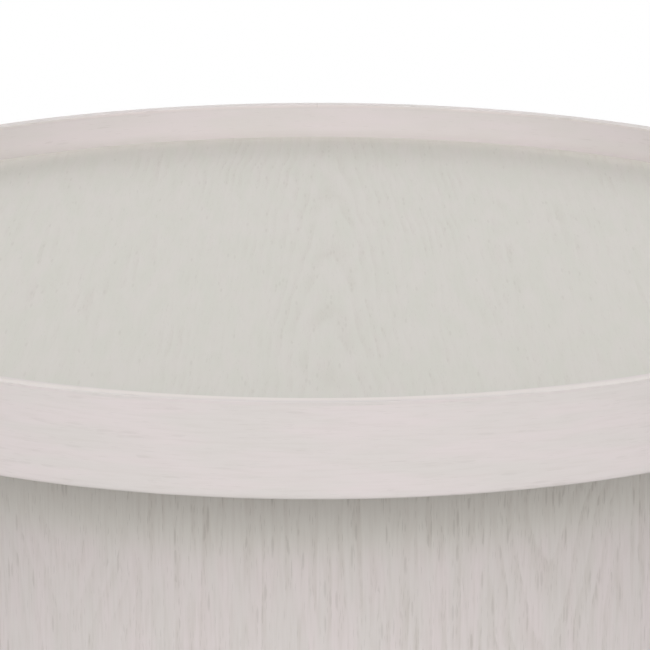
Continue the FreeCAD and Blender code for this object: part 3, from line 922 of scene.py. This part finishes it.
class Turning(Shape):
    """A tree for turned pieces, in metres, made about the Z axis."""

    def moved(self, geometry, offset, spin=0.0, tip=0.0):
        sockets = {0: geometry, "Translation": offset, "Rotation": self.vector(tip, 0.0, spin)}
        return self.node("GeometryNodeTransform", {}, sockets)

    def together(self, *parts):
        return self.node("GeometryNodeJoinGeometry", {}, {0: list(parts)})

    def turned(self, sides, *profile):
        """A skin through (radius, height) corners, each no lower than the last."""
        rings = []
        for (near, low), (far, high) in zip(profile, profile[1:]):
            sockets = {"Vertices": sides, "Radius Bottom": near, "Radius Top": far, "Depth": high - low}
            ring = self.node("GeometryNodeMeshCone", {"fill_type": "NONE"}, sockets)
            rings.append(self.moved(ring, self.vector(0.0, 0.0, low)))
        return self.welded(self.together(*rings))

    def welded(self, geometry):
        return self.node("GeometryNodeMergeByDistance", {}, {0: geometry, "Distance": WELD})

    def threaded(self, sides, rows, radius, low, high, pitch, depth):
        """A rod between two heights with a thread cut into it and its upper end tapered."""
        tall = high - low
        sockets = {"Vertices": sides, "Side Segments": rows, "Radius": radius, "Depth": tall}
        rod = self.node("GeometryNodeMeshCylinder", {"fill_type": "NGON"}, sockets, "Mesh")
        x = self.node("ShaderNodeSeparateXYZ", {}, {0: self.node("GeometryNodeInputPosition")})
        y, z = x.other("Y"), x.other("Z")
        groove = 1 - 2 * ((z / pitch - y.turn_from(x) / (2 * math.pi)).fraction() - 0.5).size()
        taper = (z - tall / 2 + pitch).at_least(0.0) / pitch
        share = 1 - depth * groove.at_least(taper) / radius
        sockets = {0: rod, "Position": self.vector(x * share, y * share, z)}
        cut = self.node("GeometryNodeSetPosition", {}, sockets)
        return self.moved(cut, self.vector(0.0, 0.0, low + tall / 2))

    def prism(self, flats, low, high, sides=6):
        """A bar with flat sides, by its size across the flats."""
        sockets = {"Vertices": sides, "Radius": flats / 2 / math.cos(math.pi / sides), "Depth": high - low}
        bar = self.node("GeometryNodeMeshCylinder", {"fill_type": "NGON"}, sockets, "Mesh")
        return self.moved(bar, self.vector(0.0, 0.0, (low + high) / 2))

    def cut(self, operation, geometry, *tools):
        settings = {"operation": operation, "solver": "EXACT"}
        sockets = {"Mesh 2": [geometry, *tools]}
        if operation == "DIFFERENCE":
            sockets = {"Mesh 1": geometry, "Mesh 2": list(tools)}
        return self.node("GeometryNodeMeshBoolean", settings, sockets)

    def around(self, geometry, seed):
        """Copies round the table on the inputs Copies, Reach and Start, each turned by chance."""
        sockets = {"Vertices": self.size("Copies"), "Radius": self.size("Reach")}
        spots = self.node("GeometryNodeMeshCircle", {}, sockets)
        spots = self.moved(spots, (0.0, 0.0, 0.0), self.size("Start"))
        sockets = {"Max": math.pi, "Seed": seed}
        chance = self.node("FunctionNodeRandomValue", {"data_type": "FLOAT"}, sockets)
        sockets = {"Points": spots, "Instance": geometry, "Rotation": self.vector(0.0, 0.0, chance)}
        return self.node("GeometryNodeInstanceOnPoints", {}, sockets)


ROUND = dict(Copies="Int", Reach="Float", Start="Float")
print("turned pieces are stacks of cones")

# %% [markdown]
# ## Wood screws and bolts
#
# Six countersunk screws with a cross slot come up through the bottom ring into the battens, and six come
# down through the top plate, where the tray hides them. Four button-head bolts with a hexagon socket hold
# the tray, and a hand that reaches up inside the drum finds them.

# %% The wood screw
SCREW_SEED = 3
screw = Turning("wood_screw", **floats("Head", "Shank", "Length", "Pitch", "Slot", "Face", "Tip"), **ROUND)
head, shank = screw.size("Head"), screw.size("Shank")
neck = head - shank
blank = screw.turned(32, (0.0, 0.0), (head * 0.96, 0.0), (head, head * 0.04), (shank, neck), (0.0, neck))
sockets = {"Size": screw.vector(head * 1.15, screw.size("Slot"), head * 0.9)}
blade = screw.node("GeometryNodeMeshCube", {}, sockets)
slotted = screw.cut("DIFFERENCE", blank, blade, screw.moved(blade, (0.0, 0.0, 0.0), math.pi / 2))
length, pitch = screw.size("Length"), screw.size("Pitch")
shaft = screw.threaded(16, 160, shank, low=neck * 0.9, high=length, pitch=pitch, depth=shank * 0.28)
face = screw.vector(0.0, 0.0, screw.size("Face"))
whole = screw.moved(screw.together(slotted, shaft), face, 0.0, screw.size("Tip"))
wood_screw = screw.close(screw.smooth(screw.around(whole, SCREW_SEED), sharp=35))
print("wood screw made of", len(wood_screw.nodes), "nodes")

# %% Drive the wood screws
SCREW_HEAD = 4.0 * MM
screw_low, screw_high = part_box("bottom_ring_screws")
screw_top = heights_of("top_plate_screws")[1]
SCREW = dict(
    Head=SCREW_HEAD, Shank=2.0 * MM, Length=screw_high.z - screw_low.z, Pitch=1.8 * MM,
    Slot=1.1 * MM, Copies=6, Reach=screw_high.x - SCREW_HEAD, Start=0.0, Finish=zinc_steel,
)
grown(
    "screws_from_below", wood_screw, "pedestal", "zinc_steel", ["bottom_ring_screws"],
    **SCREW, Face=screw_low.z, Tip=0.0,
)
grown(
    "screws_from_above", wood_screw, "pedestal", "zinc_steel", ["top_plate_screws"],
    **SCREW, Face=screw_top, Tip=math.pi,
)

# %% The button-head bolt
BOLT_SEED = 5
QUARTER = [k * math.pi / 12 for k in range(7)]
sizes = floats("Head", "Tall", "Key", "Deep", "Shank", "Length", "Pitch", "Face")
bolt = Turning("button_bolt", **sizes, **ROUND)
head, tall, pitch = bolt.size("Head"), bolt.size("Tall"), bolt.size("Pitch")
dome = [(0.55 + 0.45 * math.sin(turn), 0.75 - 0.75 * math.cos(turn)) for turn in QUARTER]
profile = [(0.0, 0.0), *((head * out, tall * up) for out, up in dome), (head, tall), (0.0, tall)]
key = bolt.prism(bolt.size("Key"), 0 - bolt.size("Deep"), bolt.size("Deep"))
socketed = bolt.cut("DIFFERENCE", bolt.turned(40, *profile), key)
end = tall + bolt.size("Length")
shaft = bolt.threaded(20, 240, bolt.size("Shank"), low=tall * 0.9, high=end, pitch=pitch, depth=pitch * 0.55)
whole = bolt.moved(bolt.together(socketed, shaft), bolt.vector(0.0, 0.0, bolt.size("Face")))
button_bolt = bolt.close(bolt.smooth(bolt.around(whole, BOLT_SEED), sharp=35))
print("bolt made of", len(button_bolt.nodes), "nodes")

# %% Fasten the tray
bolt_low, bolt_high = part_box("tray_bolts")
BOLT_HEAD = 5.25 * MM
grown(
    "tray_button_bolts", button_bolt, "pedestal", "zinc_steel", ["tray_bolts"],
    Head=BOLT_HEAD, Tall=3.3 * MM, Key=4.0 * MM, Deep=2.0 * MM,
    Shank=2.9 * MM, Length=30.0 * MM, Pitch=1.0 * MM, Face=bolt_low.z, Copies=4,
    Reach=(bolt_high.x - BOLT_HEAD) * math.sqrt(2), Start=math.pi / 4, Finish=zinc_steel,
)

# %% [markdown]
# ## The levelling feet
#
# Each foot is a steel stem and a nylon pad. The stem has a round head that is trapped in the pad and
# swivels there, a hexagon for a spanner, and a screw that winds up into an insert in the bottom ring. The
# pad has a soft skirt with grip notches. Stem and pad are separate pieces on separate bodies, because the
# stem turns while the pad only rises and falls.

# %% The stem
PLACE = dict(Place="Vector", Turn="Float")
widths = floats("Head", "Neck", "Flats", "Screw", "Pitch")
levels = floats("Head_Low", "Head_High", "Hex_Low", "Hex_High", "Top")
stem = Turning("foot_stem", **widths, **levels, **PLACE)
head, neck, flats, pitch = (stem.size(name) for name in ("Head", "Neck", "Flats", "Pitch"))
foot, brow = stem.size("Head_Low"), stem.size("Head_High")
low, high = stem.size("Hex_Low"), stem.size("Hex_High")
ease = 0.3 * MM
swivel = stem.turned(
    40, (0.0, foot), (head - ease, foot), (head, foot + ease), (head, brow - ease),
    (head - ease, brow), (neck, brow), (neck, low + ease), (0.0, low + ease),
)
inner, outer, slant = flats * 0.48, flats * 0.6, flats * 0.07
barrel = stem.turned(
    48, (0.0, low), (inner, low), (outer, low + slant), (outer, high - slant), (inner, high), (0.0, high),
)
nut = stem.cut("INTERSECT", stem.prism(flats, low - ease, high + ease), barrel)
screw_size, end = stem.size("Screw"), stem.size("Top")
thread = stem.threaded(28, 240, screw_size, low=high - ease, high=end, pitch=pitch, depth=pitch * 0.5)
whole = stem.moved(stem.together(swivel, nut, thread), stem.size("Place"), stem.size("Turn"))
foot_stem = stem.close(stem.smooth(whole, sharp=30))
print("stem made of", len(foot_stem.nodes), "nodes")

# %% The pad
PAD_SIDES = 144
HOLLOW = 0.25 * MM
sizes = floats("Skirt", "Crown", "Bore", "Pocket", "Floor", "Ceiling", "Skirt_Top", "Top")
pad = Turning("foot_pad", **sizes, Notches="Int", Notch="Float", **PLACE)
skirt, crown, bore, pocket = (pad.size(name) for name in ("Skirt", "Crown", "Bore", "Pocket"))
top, skirt_top, ceiling, base = (pad.size(name) for name in ("Top", "Skirt_Top", "Ceiling", "Floor"))
bevel = 1.0 * MM
draw_in, draw_up = crown - skirt, top - bevel * 0.5 - skirt_top
shoulder = [
    (skirt + draw_in * (1 - math.cos(turn)), skirt_top + draw_up * math.sin(turn)) for turn in QUARTER
]
outside = pad.turned(
    PAD_SIDES, (0.0, HOLLOW), (skirt * 0.72, HOLLOW), (skirt * 0.76, 0.0), (skirt - bevel, 0.0),
    (skirt - bevel * 0.3, bevel * 0.3), (skirt, bevel), (skirt, skirt_top - bevel * 0.4),
    *shoulder, (crown - bevel * 0.4, top), (bore, top),
)
cavity = pad.turned(PAD_SIDES, (0.0, base), (pocket, base), (pocket, ceiling), (bore, ceiling), (bore, top))
skin = pad.welded(pad.together(outside, pad.node("GeometryNodeFlipFaces", {}, {0: cavity})))
x = pad.node("ShaderNodeSeparateXYZ", {}, {0: pad.node("GeometryNodeInputPosition")})
y, z = x.other("Y"), x.other("Z")
reach = (x * x + y * y).root()
wave = (y.turn_from(x) * pad.size("Notches")).cosine().rise(0.35, 0.95)
on_skirt = reach.above(skirt - bevel * 0.2) * z.rise(0.9 * MM, 1.2 * MM)
inset = wave * pad.size("Notch") * on_skirt
share = 1 - inset / reach.at_least(bevel)
notched = pad.node("GeometryNodeSetPosition", {}, {0: skin, "Position": pad.vector(x * share, y * share, z)})
foot_pad = pad.close(pad.smooth(pad.moved(notched, pad.size("Place"), pad.size("Turn")), sharp=35))
print("pad made of", len(foot_pad.nodes), "nodes")

# %% Set the four feet
STEM = dict(
    Head=6.0 * MM, Neck=3.5 * MM, Flats=13.0 * MM, Screw=4.0 * MM, Pitch=1.25 * MM,
    Head_Low=3.3 * MM, Head_High=6.3 * MM, Hex_Low=9.3 * MM, Hex_High=14.3 * MM,
    Finish=zinc_steel,
)
PAD = dict(
    Skirt=17.0 * MM, Crown=12.0 * MM, Bore=3.8 * MM, Pocket=6.3 * MM, Floor=3.0 * MM,
    Ceiling=6.6 * MM, Skirt_Top=4.0 * MM, Top=9.0 * MM, Notches=24, Notch=0.5 * MM,
    Finish=nylon,
)
for k in range(1, 5):
    low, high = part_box(f"foot_stem_{k}")
    middle = (low + high) / 2
    spot = {"Place": (middle.x, middle.y, 0.0), "Turn": math.atan2(middle.y, middle.x)}
    grown(
        f"leveller_stem_{k}_screw", foot_stem, f"leveller_stem_{k}", "zinc_steel", [f"foot_stem_{k}"],
        **STEM, Top=high.z, **spot,
    )
    grown(
        f"leveller_pad_{k}_foot", foot_pad, f"leveller_pad_{k}", "nylon", [f"foot_pad_{k}"],
        **PAD, **spot,
    )
